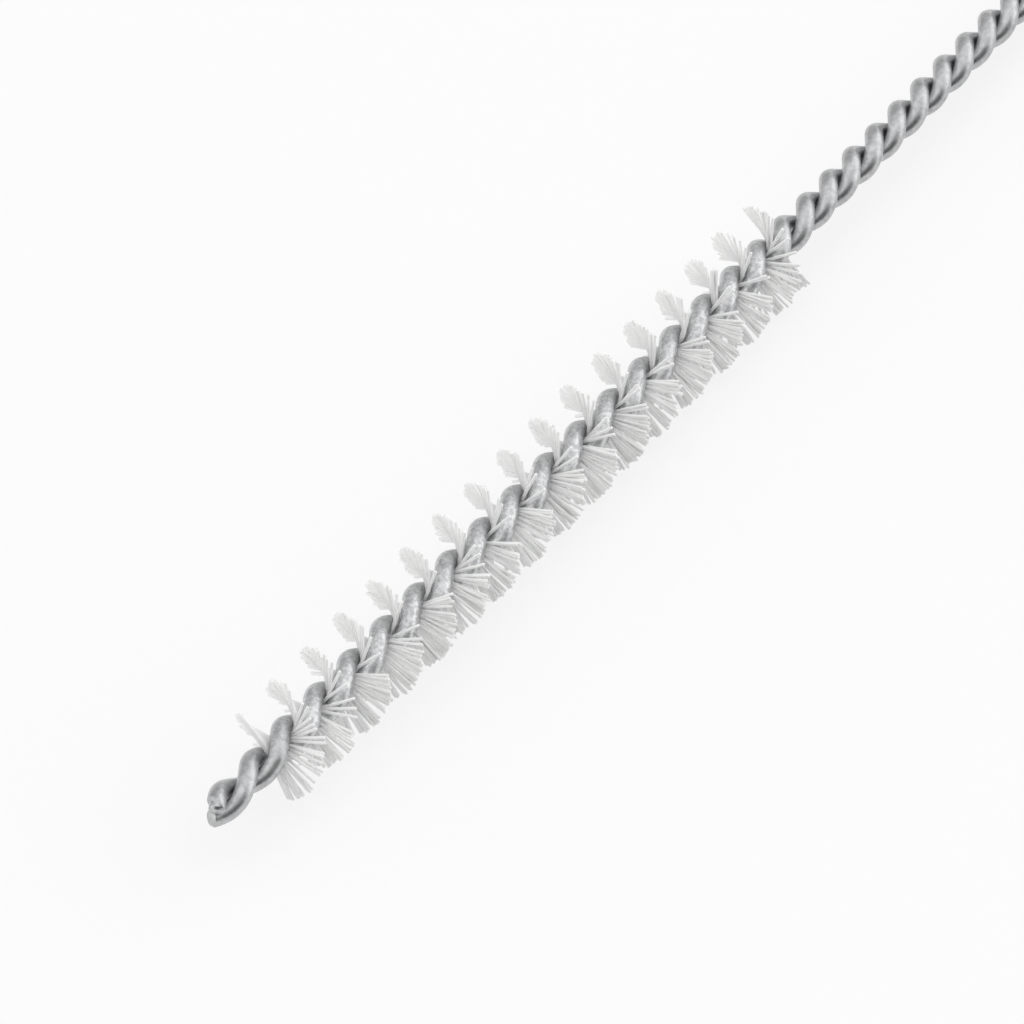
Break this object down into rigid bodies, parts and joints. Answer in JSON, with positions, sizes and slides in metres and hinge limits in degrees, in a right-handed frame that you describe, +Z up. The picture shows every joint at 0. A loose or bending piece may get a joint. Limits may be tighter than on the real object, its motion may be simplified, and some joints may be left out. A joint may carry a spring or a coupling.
{
  "type": "instrument cleaning brush",
  "caption": "Slim cleaning brush: a left-handed twist of one wire holds a spiral of nylon bristles near its cut tip and ends in a hanging loop.",
  "frame": {"origin": "on the surface that the brush lies on, under the middle of its bounding box", "axes": "+X along the brush from the cut tip to the hanging loop, +Z up; the brush leans 1.4 degrees down towards the loop and is rolled 2.5 degrees about its length, as it comes to rest"},
  "size_m": [0.1536, 0.0122, 0.0071],
  "materials": {
    "wire": "satin stainless steel wire",
    "bristles": "translucent off-white nylon filament"
  },
  "bodies": {
    "root": {"twisted_wire": "wire", "tuft_01": "bristles", "tuft_02": "bristles", "tuft_03": "bristles", "tuft_04": "bristles", "tuft_05": "bristles", "tuft_06": "bristles", "tuft_07": "bristles", "tuft_08": "bristles", "tuft_09": "bristles", "tuft_10": "bristles", "tuft_11": "bristles", "tuft_12": "bristles", "tuft_13": "bristles", "tuft_14": "bristles", "tuft_15": "bristles", "tuft_16": "bristles"}
  },
  "joints": []
}
